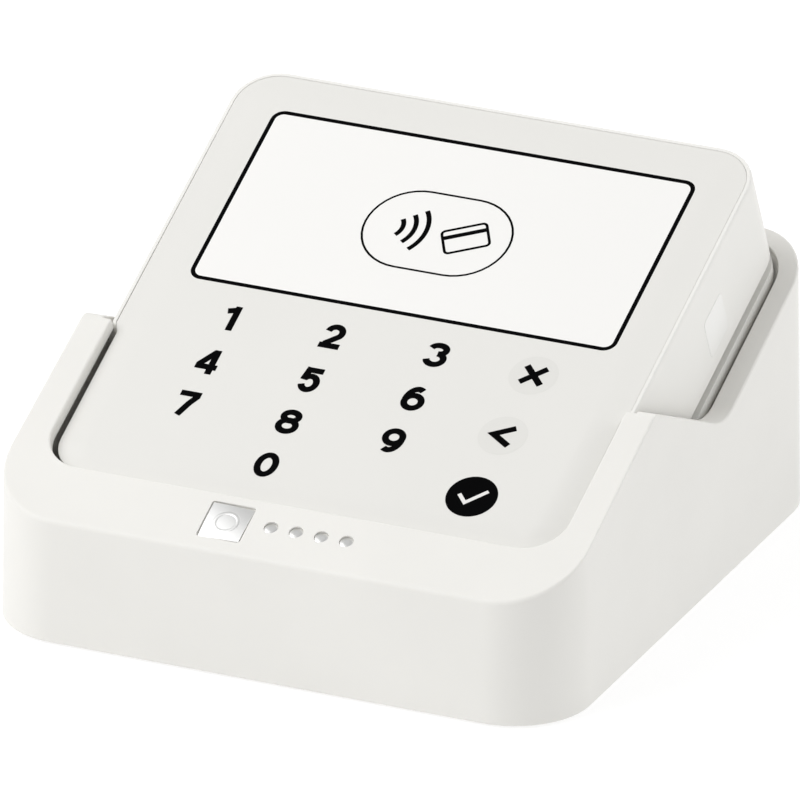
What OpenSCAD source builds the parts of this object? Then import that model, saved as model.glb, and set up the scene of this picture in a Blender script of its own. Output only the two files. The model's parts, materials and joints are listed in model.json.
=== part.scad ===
// Countertop card payment terminal: a square touch card reader that sits tilted
// in a wedge-shaped charging dock. Millimetres, +Z up, the customer's side at -Y.
// The origin is on the table, under the middle of the dock.

/* [Dock] */
// Width of the dock at the table
dock_w = 93; // [92:0.5:96]
// Depth of the dock at the table
dock_d = 98; // [98:0.5:102]
// Radius of the dock's front corners at the table
dock_r = 12; // [10:0.5:13]
// Radius of the dock's back corners at the table
dock_back_r = 10; // [9:0.5:12]
// Draft of the dock's walls, in degrees
draft = 0.9; // [0.5:0.1:1.2]
// Thickness of the dock's walls
dock_wall = 2.6; // [2.2:0.1:3]
// Thickness of the pocket's floor
pocket_floor = 1.2; // [1:0.1:1.4]
// Depth of the recessed badge and bar on the front lip
badge_depth = 0.5; // [0.3:0.1:0.8]

/* [Reader] */
// Tilt of the reader's face, in degrees
tilt = 25; // [24:0.5:26]
// Height of the middle of the reader's face above the table
face_z = 40.6; // [40.4:0.1:42]
// Width of the reader
reader_w = 84; // [83:0.5:84]
// Length of the reader, along its face
reader_l = 82; // [81:0.5:82]
// Thickness of the reader
reader_t = 22.6; // [22:0.1:22.6]
// Radius of the reader's corners, seen from the front
reader_r = 7; // [6:0.5:8]
// Width of the bright lip round the front cover
lip_w = 0.68; // [0.5:0.02:0.9]
// How far each side steps in where the dock's rim wraps the reader
rebate = 1.7; // [1.5:0.1:1.8]
// Where the step lies, from the middle of the face
step_y = -13; // [-14:0.5:-12]
// Thickness of the front cover
cover_t = 1.5; // [1.2:0.1:1.6]
// Thickness of the reader's walls
wall_t = 1.6; // [1.4:0.1:1.8]
// Height of the reader's rubber feet
foot_h = 0.4; // [0.3:0.1:0.5]

/* [Display] */
// Width of the display, across its black outline
display_w = 68.6; // [66:0.2:69]
// Height of the display, across its black outline
display_h = 34.95; // [33:0.05:36]
// Width of the black outline
outline_w = 0.7; // [0.5:0.1:1]
// Middle of the display, above the middle of the face
display_y = 16; // [15:0.5:17]

/* [Card paths] */
// Height of the swipe slot on the right side
swipe_gap = 1.5; // [1.3:0.1:1.6]
// Depth of the swipe slot
swipe_depth = 13; // [12:0.5:13]
// Depth of the swipe slot's roof below the face
swipe_roof = 17.3; // [17:0.1:17.4]
// Width of the chip card slot
chip_slot_w = 54.8; // [54.5:0.1:55]
// Height of the chip card slot
chip_slot_h = 1.2; // [1:0.1:1.4]

/* [Moving parts] */
// Travel of the power button
button_travel = 0.5; // [0.3:0.1:0.5]
// Travel of the charging pins
pin_travel = 0.8; // [0.5:0.1:0.8]
// Travel of the swipe head
head_travel = 0.7; // [0.5:0.1:0.7]
// Travel of the chip contacts
contact_travel = 0.35; // [0.2:0.05:0.4]

/* [Quality] */
// Smoothness of curves
$fn = 64; // [32:8:96]

/* [Hidden] */

eps = 0.01;
gap = 0.08;
far = 200;

// Colours
shell_white = [0.93, 0.93, 0.91];
screen_white = [0.97, 0.97, 0.965];
ink_black = [0.02, 0.02, 0.02];
board_green = [0.06, 0.28, 0.16];
chip_black = [0.07, 0.07, 0.08];
steel = [0.72, 0.73, 0.74];
gold = [0.83, 0.66, 0.28];
rubber_grey = [0.2, 0.2, 0.21];

// Heights of the dock, from the table up
mat_z = 0.3;
base_top = 1.6;
mat_recess = 0.5;
base_inset = dock_wall - 0.4;
base_gap = 0.15;
taper = tan(draft);
block_h = 60;

// The dock's rim planes, as depths from the face, positive outwards
rim_h = 1.6;
low_rim_h = -19.8;
shoulder_angle = 24.8;
crest_y = -12.9;
crest_r = 2.5;
valley_r = 8;

// The pocket, in the face's frame
pocket_top = 41.8;
pocket_bottom = -reader_l / 2 - 0.9;
pocket_low_x = 41.26;
pocket_high_x = 42.8;
pocket_low_r = 6.4;
pocket_high_r = 7.8;
pocket_floor_h = -reader_t - foot_h;
pocket_edge = 2;
undercut = pocket_high_x - pocket_low_x;
undercut_h = -0.35;

// The reader's outlines, as half widths and corners
half_w = reader_w / 2;
half_l = reader_l / 2;
low_x = half_w - rebate;
cover_low_x = low_x + 0.15;
low_r = reader_r - rebate;
cover_r = reader_r - lip_w;
seam_h = -swipe_roof;
swipe_floor = -swipe_roof - swipe_gap;
swipe_x = half_w - swipe_depth;
bottom_edge = 1.8;
head_h = 6.65;
board_h = -12;
board_t = 1.2;

// Interfaces between dock and reader
pin_y = 10;
pin_pitch = 5;
pin_r = 0.6;
pad_r = 1.6;
pin_clear = 0.05;
pin_x = [for (i = [0:3]) (i - 1.5) * pin_pitch];

// Screws: places under the reader in the face's frame, and under the dock
reader_screw_places = [[-36.3, 34], [25.8, 34], [-36.3, -34], [25.8, -34]];
dock_screw_places = [[-36, 38], [36, 38], [-36, -38.5], [36, -38.5]];
foot_places = [[-26, -31], [14, -31], [-26, 28], [18, 28]];

// The chip card connector, left of centre to clear the swipe slot
chip_x = -5;
chip_w = 56;
chip_y0 = -4;
chip_y1 = 38.8;
chip_top = board_h - 0.1;
chip_h = 3.9;
chip_path = -14.2;

// Left side controls
side_h = -8.5;
button_y = 24;
reader_usb_y = 6;

// ---------------------------------------------------------------- helpers

// Puts a shape given in the face's frame (x across, y up the face, z outwards) in place
module on_face() {
    translate([0, 0, face_z]) rotate([tilt, 0, 0]) children();
}

// Rounded rectangle between two corners
module round_rect(x0, y0, x1, y1, r) {
    translate([x0 + r, y0]) square([x1 - x0 - 2 * r, y1 - y0]);
    translate([x0, y0 + r]) square([x1 - x0, y1 - y0 - 2 * r]);
    for (x = [x0 + r, x1 - r], y = [y0 + r, y1 - r]) translate([x, y]) circle(r);
}

// Slab with a rounded-rectangle outline, from height z0 to z1
module slab(x0, y0, x1, y1, r, z0, z1) {
    translate([0, 0, z0]) linear_extrude(z1 - z0) round_rect(x0, y0, x1, y1, r);
}

// Block whose walls lean inwards by inset over its height, with exact conical corners
module drafted_block(x0, y0, x1, y1, r, z0, z1, inset, back_r) {
    h = z1 - z0;
    mid = (y0 + y1) / 2;
    translate([0, 0, z0]) {
        translate([0, y1 - back_r, 0]) rotate([90, 0, 0]) linear_extrude(y1 - y0 - r - back_r)
            polygon([[x0, 0], [x1, 0], [x1 - inset, h], [x0 + inset, h]]);
        translate([x0 + r, 0, 0]) rotate([90, 0, 90]) linear_extrude(x1 - x0 - 2 * r)
            polygon([[y0, 0], [mid, 0], [mid, h], [y0 + inset, h]]);
        translate([x0 + back_r, 0, 0]) rotate([90, 0, 90]) linear_extrude(x1 - x0 - 2 * back_r)
            polygon([[mid, 0], [y1, 0], [y1 - inset, h], [mid, h]]);
        for (x = [x0 + r, x1 - r]) translate([x, y0 + r, 0])
            cylinder(h = h, r1 = r, r2 = r - inset);
        for (x = [x0 + back_r, x1 - back_r]) translate([x, y1 - back_r, 0])
            cylinder(h = h, r1 = back_r, r2 = back_r - inset);
    }
}

// Slab whose lower edge is cut at 45 degrees
module edged_slab(x0, y0, x1, y1, r, z0, z1, edge) {
    slab(x0, y0, x1, y1, r, z0 + edge, z1);
    mirror([0, 0, 1]) drafted_block(x0, y0, x1, y1, r, -z0 - edge, -z0, edge, r);
}

// Shape drawn in the Y-Z plane and drawn out along X
module along_x(x0, x1) {
    translate([x0, 0, 0]) rotate([90, 0, 90]) linear_extrude(x1 - x0) children();
}

module box_at(x0, y0, z0, x1, y1, z1) {
    translate([x0, y0, z0]) cube([x1 - x0, y1 - y0, z1 - z0]);
}

// ---------------------------------------------------------------- dock

// Height of a plane at depth h from the face, over a point y of the table
function plane_z(y, h) = face_z + h / cos(tilt) + y * tan(tilt);

crest_by = crest_y * cos(tilt) - rim_h * sin(tilt);
crest_bz = plane_z(crest_by, rim_h);
valley_by = (crest_bz + crest_by * tan(shoulder_angle) - plane_z(0, low_rim_h))
    / (tan(tilt) + tan(shoulder_angle));

// Side outline of everything below the dock's rims, lowered by drop
module dock_profile(drop = 0) {
    cut = [
        [-far, -far], [far, -far], [far, plane_z(far, low_rim_h)],
        [valley_by, plane_z(valley_by, low_rim_h)],
        [crest_by, crest_bz], [-far, plane_z(-far, rim_h)]
    ];
    translate([0, -drop])
        offset(r = -valley_r) offset(delta = valley_r)
        offset(r = crest_r) offset(delta = -crest_r) polygon(cut);
}

// The space that the reader drops into; grow makes it larger, for the wall round it
module pocket(grow = 0, floor_grow = 0, side_grow = 0) {
    z0 = pocket_floor_h - floor_grow;
    // The rim's lip overhangs a wider space, which leaves a dark gap round the reader
    slab(-pocket_low_x, pocket_bottom, pocket_low_x, 10, pocket_low_r, undercut_h - eps, far / 4);
    wide = pocket_high_x + side_grow;
    edged_slab(-wide, pocket_bottom - undercut - grow, wide, 10, pocket_low_r + undercut + grow,
        z0, undercut_h, pocket_edge);
    edged_slab(-pocket_high_x - grow, step_y - 0.2, pocket_high_x + grow, pocket_top + grow,
        pocket_high_r + grow, z0, far / 4, pocket_edge);
    box_at(-pocket_high_x - grow, step_y - 0.2, z0 + pocket_edge,
        pocket_high_x + grow, 20, far / 4);
}

module dock_outer() {
    drafted_block(-dock_w / 2, -dock_d / 2, dock_w / 2, dock_d / 2, dock_r, mat_z, block_h,
        taper * (block_h - mat_z), dock_back_r);
}

// Straight-walled block inside the dock's outline
module dock_inner(inset, z0, z1) {
    slab(-dock_w / 2 + inset, -dock_d / 2 + inset, dock_w / 2 - inset, dock_d / 2 - inset,
        dock_r - inset, z0, z1);
}

// The hollow under the pocket and inside the front lip
module dock_hollow() {
    difference() {
        intersection() {
            dock_inner(dock_wall, base_top - 1, block_h);
            along_x(-far, far) dock_profile(dock_wall);
        }
        on_face() pocket(1.4, pocket_floor, 3.4);
        for (p = dock_screw_places) translate([p[0], p[1], base_top]) cylinder(h = far / 4, r = 3);
    }
    // Seat of the base plate
    dock_inner(base_inset, -1, base_top + eps);
}

// Round-ended opening of a USB-C port, drawn in the X-Z plane about its middle
module usb_outline(w, h) {
    translate([-w / 2 + h / 2, -h / 2]) square([w - h, h]);
    for (s = [-1, 1]) translate([s * (w - h) / 2, 0]) circle(h / 2);
}

dock_port_z = 12.6;

module badge_outline(grow = 0) {
    round_rect(-12.1 - grow, -50.55 - grow, -5.1 + grow, -43.55 + grow, 0.5 + grow);
}

// Row of plain round dots beside the badge
module lip_dots(grow = 0) {
    for (i = [0:3]) translate([-1.6 + i * 4, -46.6]) circle(1.1 + grow);
}

module dock_shell() {
    color(shell_white) difference() {
        intersection() {
            dock_outer();
            along_x(-far, far) dock_profile();
        }
        on_face() pocket();
        dock_hollow();
        on_face() translate([0, 0, rim_h - badge_depth]) linear_extrude(5) badge_outline();
        on_face() translate([0, 0, rim_h - badge_depth]) linear_extrude(5) lip_dots();
        on_face() for (x = pin_x) translate([x, pin_y, pocket_floor_h - 3]) cylinder(h = 6, r = 1);
        for (p = dock_screw_places) translate([p[0], p[1], -1]) cylinder(h = 8, r = 1.2);
        translate([0, dock_d / 2 + 1, dock_port_z]) rotate([90, 0, 0])
            linear_extrude(10) usb_outline(9.4, 3.6);
        translate([0, dock_d / 2 + 1, dock_port_z]) rotate([90, 0, 0])
            linear_extrude(2.2) usb_outline(13, 7);
    }
}

module dock_base() {
    color(shell_white) difference() {
        union() {
            dock_inner(base_inset + base_gap, mat_z, base_top);
            for (x = [-14, 14], y = [24, 40]) translate([x, y, base_top - eps])
                cylinder(h = 7.6, r = 2.2);
        }
        slab(-41, -44, 41, 44, 8, mat_z - 1, mat_z + mat_recess);
        for (p = dock_screw_places) translate([p[0], p[1], -1]) cylinder(h = 4, r = 1.5);
    }
}

module dock_mat() {
    color(rubber_grey) difference() {
        slab(-40.9, -43.9, 40.9, 43.9, 7.9, 0, mat_z + mat_recess - eps);
        for (p = dock_screw_places) translate([p[0], p[1], -1]) cylinder(h = 4, r = 2.8);
    }
}

module dock_weight() {
    color(steel) slab(-30, -4, 30, 18, 2, base_top + 0.05, base_top + 4.5);
}

dock_board_z = base_top + 7.65;

module dock_board() {
    color(board_green) slab(-18, 21, 18, 43, 1, dock_board_z, dock_board_z + 1.2);
}

module dock_board_parts() {
    z = dock_board_z + 1.21;
    color(chip_black) {
        box_at(-14, 26, z, -8, 32, z + 1.2);
        box_at(6, 25, z, 11, 29, z + 1);
        for (i = [0:2]) box_at(7 + 3 * i, 33, z, 8.6 + 3 * i, 35, z + 0.9);
    }
}

module dock_usb_port() {
    color(steel) translate([0, 47.2, dock_port_z]) rotate([90, 0, 0]) difference() {
        linear_extrude(8) usb_outline(9, 3.2);
        translate([0, 0, -1]) linear_extrude(7.5) usb_outline(8.4, 2.6);
    }
    color(chip_black) box_at(-3.2, 40.7 - eps, dock_port_z - 0.35, 3.2, 46, dock_port_z + 0.35);
}

// Holder under the pocket's floor; each pin slides in its own bore
module contact_block() {
    top = pocket_floor_h - pocket_floor - 0.05;
    color(chip_black) on_face() difference() {
        slab(-11, pin_y - 3, 11, pin_y + 3, 1, top - 5.6, top);
        for (x = pin_x) translate([x, pin_y, 0]) {
            translate([0, 0, top - 4.4]) cylinder(h = 3.4, r = 1.1);
            translate([0, 0, top - 2]) cylinder(h = 3, r = pin_r + pin_clear);
        }
    }
}

module charge_pin(i) {
    top = pocket_floor_h - pocket_floor - 0.05;
    tip = -reader_t - 0.05;
    color(gold) on_face() translate([pin_x[i - 1], pin_y, 0]) {
        translate([0, 0, top - 2.6]) cylinder(h = tip - pin_r - top + 2.6, r = pin_r);
        translate([0, 0, tip - pin_r]) sphere(pin_r);
        translate([0, 0, top - 2.6]) cylinder(h = 1.4, r = 1);
    }
}

module dock_screws() {
    color(steel) for (p = dock_screw_places) translate([p[0], p[1], 0]) {
        translate([0, 0, mat_z + mat_recess - 0.45]) cylinder(h = 0.45, r = 2.4);
        translate([0, 0, mat_z + 0.2]) cylinder(h = 6, r = 1.15);
    }
}

// Plain badge plate with a raised ring, set in the front lip
module dock_badge() {
    color(steel) on_face() translate([0, 0, rim_h - badge_depth + eps]) {
        linear_extrude(0.2) badge_outline(-0.1);
        translate([-8.6, -47.05, 0]) rotate_extrude() translate([1.5, 0]) square([0.5, 0.4]);
    }
}

// ---------------------------------------------------------------- reader

// Outline of the reader: full width above the step, narrower below it
module reader_outline(high_x, top, high_r, lower_x, bottom, lower_r, step = step_y) {
    round_rect(-lower_x, bottom, lower_x, step + 20, lower_r);
    intersection() {
        round_rect(-high_x, step - 30, high_x, top, high_r);
        translate([-far, step]) square([2 * far, far]);
    }
}

module reader_slab(inset, z0, z1) {
    translate([0, 0, z0]) linear_extrude(z1 - z0)
        reader_outline(half_w - inset, half_l - inset, reader_r - inset,
            low_x - inset, -half_l + 0.2 + inset, low_r - min(inset, low_r - 1), step_y + inset);
}

module cover_outline(grow = 0) {
    reader_outline(half_w - lip_w - gap + grow, half_l - lip_w - gap + grow, cover_r + grow,
        cover_low_x + grow, -half_l - grow, low_r + 0.15 + grow, step_y + lip_w - grow);
}

module display_outline(inset) {
    round_rect(-display_w / 2 + inset, display_y - display_h / 2 + inset,
        display_w / 2 - inset, display_y + display_h / 2 - inset, 2 - inset);
}

// Rib that ties a screw boss to the wall beside it, below the board
module boss_web(p, wall_x) {
    box_at(min(p[0], wall_x), p[1] - 0.6, seam_h - 1, max(p[0], wall_x), p[1] + 0.6, board_h - 0.3);
}

// White housing round the reader: side walls, the ledge under the cover and the slot's roof
module mid_frame() {
    color(shell_white) on_face() difference() {
        union() {
            reader_slab(0, seam_h, -cover_t);
            intersection() {
                reader_slab(0, -cover_t - eps, 0);
                box_at(-far, step_y, -10, far, far, 10);
            }
        }
        translate([0, 0, -cover_t]) linear_extrude(5) cover_outline(gap);
        difference() {
            reader_slab(wall_t, seam_h - 1, -3);
            box_at(swipe_x - 1, -far, seam_h - 2, far, far, seam_h + 1.2);
            for (p = reader_screw_places) {
                translate([p[0], p[1], seam_h - 1]) cylinder(h = 16, r = 2);
                boss_web(p, p[0] < 0 ? -half_w : swipe_x);
            }
        }
        reader_slab(wall_t + 1.6, -4, 0);
        box_at(-far, -far, seam_h - 2, swipe_x - 1, far, seam_h - eps);
        for (p = reader_screw_places) translate([p[0], p[1], seam_h - 1]) cylinder(h = 10, r = 0.9);
        // Window for the swipe head
        slab(31.4, 9.4, 38.6, 20.6, 0.6, seam_h - 2, seam_h + 3);
        // Mouth of the chip card slot
        translate([chip_x, half_l + 1, chip_path]) rotate([90, 0, 0])
            linear_extrude(5) square([chip_slot_w, chip_slot_h + 0.4], center = true);
        // Button hole and port opening in the left wall
        translate([-half_w - 1, button_y, side_h]) rotate([90, 0, 90])
            linear_extrude(4) usb_outline(9.1, 3.1);
        translate([-half_w - 1, reader_usb_y, side_h]) rotate([90, 0, 90])
            linear_extrude(4) usb_outline(9.4, 3.6);
    }
}

module front_cover() {
    color(shell_white) on_face() difference() {
        translate([0, 0, -cover_t + 0.02]) linear_extrude(cover_t - 0.02) cover_outline();
        translate([0, 0, -5]) linear_extrude(10) display_outline(0);
    }
}

module display_border() {
    color(ink_black) on_face() translate([0, 0, -cover_t + 0.02]) linear_extrude(cover_t - 0.02)
        difference() {
            display_outline(0);
            display_outline(outline_w);
        }
}

module display_window() {
    color(screen_white) on_face() translate([0, 0, -cover_t + 0.02])
        linear_extrude(cover_t - 0.02) display_outline(outline_w);
}

module lcd_panel() {
    color(chip_black) on_face()
        slab(-35, display_y - 18.5, 35, display_y + 18.5, 1, -3.8, -1.6);
}

module touch_sensor() {
    color([0.75, 0.6, 0.25]) on_face() slab(-36.6, -37, 36.6, -4, 3, -1.8, -1.55);
}

// Antenna loop for tapped cards, round the display
module nfc_antenna() {
    color([0.16, 0.14, 0.12]) on_face() difference() {
        slab(-38.4, -5.5, 38.4, 37.6, 4, -2.5, -2);
        slab(-35.6, -3, 35.6, 35, 1.5, -4, 0);
    }
}

// Ribbon from the display down to the board
module display_flex() {
    color([0.75, 0.45, 0.1]) on_face() {
        box_at(-20, -7, -3.9, -8, -2.4, -3.85);
        box_at(-20, -7, board_h + board_t + 0.05, -8, -6.9, -3.85);
        box_at(-20, -10.5, board_h + board_t + 0.02, -8, -6.9, board_h + board_t + 0.1);
    }
}

module main_board() {
    color(board_green) on_face() difference() {
        slab(-37.5, -37, 34, 36.5, 3, board_h, board_h + board_t);
        for (p = reader_screw_places) translate([p[0], p[1], board_h - 1]) cylinder(h = 4, r = 2.3);
        slab(30.8, 8.8, 39.2, 21.2, 0.6, board_h - 1, board_h + 3);
    }
}

module board_chips() {
    z = board_h + board_t + 0.01;
    color(chip_black) on_face() {
        box_at(-30, 4, z, -18, 16, z + 1.4);
        box_at(-8, 14, z, 0, 26, z + 1.1);
        box_at(8, 18, z, 14, 24, z + 1);
        for (i = [0:4]) box_at(-12 + 4 * i, -34, z, -10 + 4 * i, -31, z + 0.8);
    }
}

module shield_can() {
    z = board_h + board_t + 0.01;
    color(steel) on_face() difference() {
        slab(4, -28, 30, -8, 1, z, z + 2.4);
        slab(4.3, -27.7, 29.7, -8.3, 0.8, z - 1, z + 2.1);
    }
}

module backup_cell() {
    z = board_h + board_t + 0.01;
    color(steel) on_face() translate([-26, -22, z]) {
        cylinder(h = 1.6, r = 6.25);
        translate([0, 0, 1.6]) cylinder(h = 0.4, r = 5.4);
    }
}

module battery() {
    color([0.55, 0.57, 0.6]) on_face() slab(-33, -37.4, 22, -6, 1.5, -20.9, board_h - 0.6);
}

// Chip card connector: a tray with a mouth at the reader's top edge
module card_connector() {
    color(chip_black) on_face() difference() {
        slab(chip_x - chip_w / 2, chip_y0, chip_x + chip_w / 2, chip_y1, 0.6,
            chip_top - chip_h, chip_top);
        translate([chip_x - chip_slot_w / 2, chip_y0 + 1.5, chip_path - chip_slot_h / 2])
            cube([chip_slot_w, far, chip_slot_h]);
        box_at(chip_x - 7, 9, chip_path, chip_x + 7, 19, chip_top - 0.4);
    }
}

// Eight sprung fingers that touch the card's chip
module chip_contacts() {
    color(gold) on_face() for (i = [0:3], s = [0, 1])
        translate([chip_x - 5.1 + 2.54 * i, 10.2 + 4.2 * s, 0]) {
            box_at(0, 0, chip_path + 0.9, 1.4, 3.4, chip_path + 1.05);
            translate([0, 1.7, chip_path + 0.8]) rotate([0, 90, 0]) cylinder(h = 1.4, r = 0.5);
        }
}

module swipe_head() {
    color(steel) on_face() {
        slab(31.6, 9.6, 38.4, 20.4, 0.5, seam_h - 0.2, seam_h + head_h);
        translate([31.9, 15, seam_h + 0.4]) rotate([0, 90, 0]) cylinder(h = 6.2, r = 1.4);
    }
}

// Leaf spring clipped over the head, with its ends free in their slots
module head_spring() {
    color(gold) on_face() difference() {
        slab(32.4, 4, 37.6, 26, 0.8, seam_h + head_h + 0.02, seam_h + head_h + 0.27);
        for (y = [6, 24]) translate([35, y, seam_h + head_h - 1]) cylinder(h = 3, r = 0.8);
    }
}

module speaker() {
    color(chip_black) on_face() translate([-22, 10, -20.95]) {
        cylinder(h = 2.6, r = 8);
        translate([0, 0, 2.6]) cylinder(h = 0.6, r = 5);
    }
}

module power_switch() {
    color(steel) on_face() box_at(-37.9, button_y - 3, side_h - 1.6, -34.6, button_y + 3, side_h + 1.6);
    color(board_green) on_face()
        box_at(-34.6 + eps, button_y - 4, board_h + board_t + 0.02, -33.4, button_y + 4, side_h + 1.6);
}

// Power button: a round-ended cap through the left wall, with a flange inside
module power_button() {
    color(shell_white) on_face() translate([0, button_y, side_h]) rotate([90, 0, 90]) {
        translate([0, 0, -half_w - 0.5]) linear_extrude(2.9) usb_outline(8.9, 2.9);
        translate([0, 0, -half_w + 1.7]) linear_extrude(0.7) usb_outline(11, 4.6);
        translate([0, 0, -half_w + 2.4 - eps]) linear_extrude(1.1) usb_outline(3, 1.6);
    }
}

module usb_port() {
    color(steel) on_face() translate([-half_w + 0.4, reader_usb_y, side_h]) rotate([90, 0, 90])
        difference() {
            linear_extrude(7.6) usb_outline(9, 3.2);
            translate([0, 0, -1]) linear_extrude(7.9) usb_outline(8.4, 2.6);
        }
    color(chip_black) on_face()
        box_at(-half_w + 1.4, reader_usb_y - 3.2, side_h - 0.35, -half_w + 7.3 + eps,
            reader_usb_y + 3.2, side_h + 0.35);
}

// Gold pads in the rear cover that the dock's pins press on
module charge_pads() {
    color(gold) on_face() for (x = pin_x) translate([x, pin_y, -reader_t])
        cylinder(h = 1.4, r = pad_r);
}

// Lower shell: a tray with the swipe slot's floor on its right side
module rear_cover() {
    floor_z = -reader_t + 1.4;
    color(shell_white) on_face() difference() {
        union() {
            reader_slab(0, -reader_t + bottom_edge, seam_h - 0.05);
            intersection() {
                edged_slab(-low_x, -half_l + 0.2, low_x, step_y + 20, low_r, -reader_t,
                    seam_h - 1, bottom_edge);
                box_at(-far, -far, -far, far, step_y + 8, far);
            }
            intersection() {
                edged_slab(-half_w, step_y, half_w, half_l, reader_r, -reader_t,
                    seam_h - 1, bottom_edge);
                box_at(-far, step_y + 6, -far, far, far, far);
            }
        }
        // Swipe slot, open to the right and at both ends
        box_at(swipe_x, -far, swipe_floor, far, far, far);
        // Inside of the tray
        difference() {
            reader_slab(wall_t + 0.4, floor_z, 0);
            box_at(swipe_x - 1.2, -far, -far, far, far, far);
            for (p = reader_screw_places) translate([p[0], p[1], floor_z - 1])
                cylinder(h = far, r = 2.6);
        }
        for (x = pin_x) translate([x, pin_y, -reader_t - 1]) cylinder(h = 4, r = pad_r + eps);
        for (p = reader_screw_places) translate([p[0], p[1], 0]) {
            translate([0, 0, -reader_t - 1]) cylinder(h = 8, r = 1.2);
            translate([0, 0, -reader_t - 1]) cylinder(h = 2.6, r = 2.1);
        }
    }
}

module reader_screws() {
    color(steel) on_face() for (p = reader_screw_places) translate([p[0], p[1], -reader_t]) {
        translate([0, 0, 0.2]) cylinder(h = 1.35, r = 1.9);
        translate([0, 0, 1.5]) cylinder(h = 10, r = 0.85);
    }
}

module reader_feet() {
    color(rubber_grey) on_face() for (p = foot_places)
        translate([p[0], p[1], -reader_t - foot_h]) cylinder(h = foot_h - eps, r = 4);
}

// Plain raised tile on the right side
module side_tile() {
    color(screen_white) on_face() translate([half_w + eps, 16, -10.7]) rotate([90, 0, 90])
        linear_extrude(0.2) round_rect(-3.5, -3.8, 3.5, 3.8, 0.5);
}

// ---------------------------------------------------------------- assembly

dock_shell();
dock_base();
dock_mat();
dock_weight();
dock_board();
dock_board_parts();
dock_usb_port();
contact_block();
dock_screws();
dock_badge();
charge_pin(1);  // charge_pin_1
charge_pin(2);  // charge_pin_2
charge_pin(3);  // charge_pin_3
charge_pin(4);  // charge_pin_4
mid_frame();
front_cover();
display_border();
display_window();
lcd_panel();
touch_sensor();
nfc_antenna();
display_flex();
main_board();
board_chips();
shield_can();
backup_cell();
battery();
card_connector();
chip_contacts();
swipe_head();
head_spring();
speaker();
power_switch();
power_button();
usb_port();
charge_pads();
rear_cover();
reader_screws();
reader_feet();
side_tile();
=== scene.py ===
# Countertop card payment terminal: a square touch reader tilted in a white charging dock.
import bpy
import bmesh
import json
import math
from mathutils import Vector, Matrix
from mathutils.geometry import tessellate_polygon


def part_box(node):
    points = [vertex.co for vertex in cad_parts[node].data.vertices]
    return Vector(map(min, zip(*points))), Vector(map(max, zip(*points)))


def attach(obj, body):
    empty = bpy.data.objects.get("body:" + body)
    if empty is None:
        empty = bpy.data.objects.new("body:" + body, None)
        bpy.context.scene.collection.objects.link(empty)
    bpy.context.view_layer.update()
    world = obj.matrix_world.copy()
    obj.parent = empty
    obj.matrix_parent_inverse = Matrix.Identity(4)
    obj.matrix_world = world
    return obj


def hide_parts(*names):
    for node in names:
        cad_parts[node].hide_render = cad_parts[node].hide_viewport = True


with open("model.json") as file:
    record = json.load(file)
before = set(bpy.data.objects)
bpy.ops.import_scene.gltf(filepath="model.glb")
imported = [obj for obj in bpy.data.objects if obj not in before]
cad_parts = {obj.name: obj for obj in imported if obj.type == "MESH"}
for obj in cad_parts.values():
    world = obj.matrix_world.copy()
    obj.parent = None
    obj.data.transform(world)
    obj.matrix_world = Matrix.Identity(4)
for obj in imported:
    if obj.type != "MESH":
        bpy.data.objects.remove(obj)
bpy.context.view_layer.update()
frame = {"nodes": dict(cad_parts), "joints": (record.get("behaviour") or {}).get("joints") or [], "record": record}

MM = 0.001
X = Vector((1, 0, 0))

# ------------------------------------------------------------------ the face's frame
lift = next(j for j in frame["joints"] if j["name"] == "reader_lift")
NORMAL = Vector(lift["axis"]).normalized()
SLOPE = NORMAL.cross(X)
SIN, COS = SLOPE.z, SLOPE.y
TAN = SIN / COS


def node_points(node):
    return [v.co for v in frame["nodes"][node].data.vertices]


FACE_Z = max(p.dot(NORMAL) for p in node_points("front_cover")) / NORMAL.z / MM


def face_box(node):
    """Lowest and highest (x, y up the face, height off it) of a CAD node, in mm."""
    rel = [p / MM - Vector((0, 0, FACE_Z)) for p in node_points(node)]
    rows = [(p.dot(X), p.dot(SLOPE), p.dot(NORMAL)) for p in rel]
    return [min(c) for c in zip(*rows)], [max(c) for c in zip(*rows)]


def on_face(x, y, h):
    """A point given in the face's frame, in mm of the object's frame."""
    return X * x + SLOPE * y + NORMAL * h + Vector((0, 0, FACE_Z))


# ------------------------------------------------------------------ sizes from the frame
frame_lo, frame_hi = face_box("mid_frame")
cover_lo, cover_hi = face_box("front_cover")
rear_lo = face_box("rear_cover")[0]
border_lo, border_hi = face_box("display_border")
HALF_W = frame_hi[0]
HALF_L = frame_hi[1]
FRAME_BOTTOM = frame_lo[1]
COVER_BOTTOM = cover_lo[1]
# The housing's lip stands round the cover, with a hair seam between the two
LIP_GAP = 0.03
BACK_GAP = 0.02
LIP = HALF_W - cover_hi[0] - LIP_GAP
SEAM_H = frame_lo[2]
COVER_T = -cover_lo[2]
REAR_H = rear_lo[2]
READER_R = 7.0
# The reader is narrower by REBATE a side in its lower part. Its outline widens over these
# stretches up the face, for the housing and for the cover
REBATE = 1.7
STEP = (-13.9, -12.1)
COVER_STEP = (-14.2, -12.1)
COVER_OUT = 0.15
WRAPPED = (-22, -6)
COVER_LOW = HALF_W - REBATE + COVER_OUT
COVER_HIGH = HALF_W - LIP - LIP_GAP
# Swipe slot along the right side, and the edge of the rear cover
SLOT_GAP = 1.5
SLOT_X = HALF_W - 13.0
REAR_R = 1.8

dock_lo, dock_hi = [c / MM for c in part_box("dock_shell")]
DOCK_W = dock_hi.x
DOCK_D = dock_hi.y
DOCK_Z = dock_lo.z
DOCK_R = 12.0
DOCK_BACK_R = 10.0
TAPER = math.tan(math.radians(0.9))
FOOT_R = 0.4
BASE_INSET = 2.2
BASE_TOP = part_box("dock_weight")[0].z / MM
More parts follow.
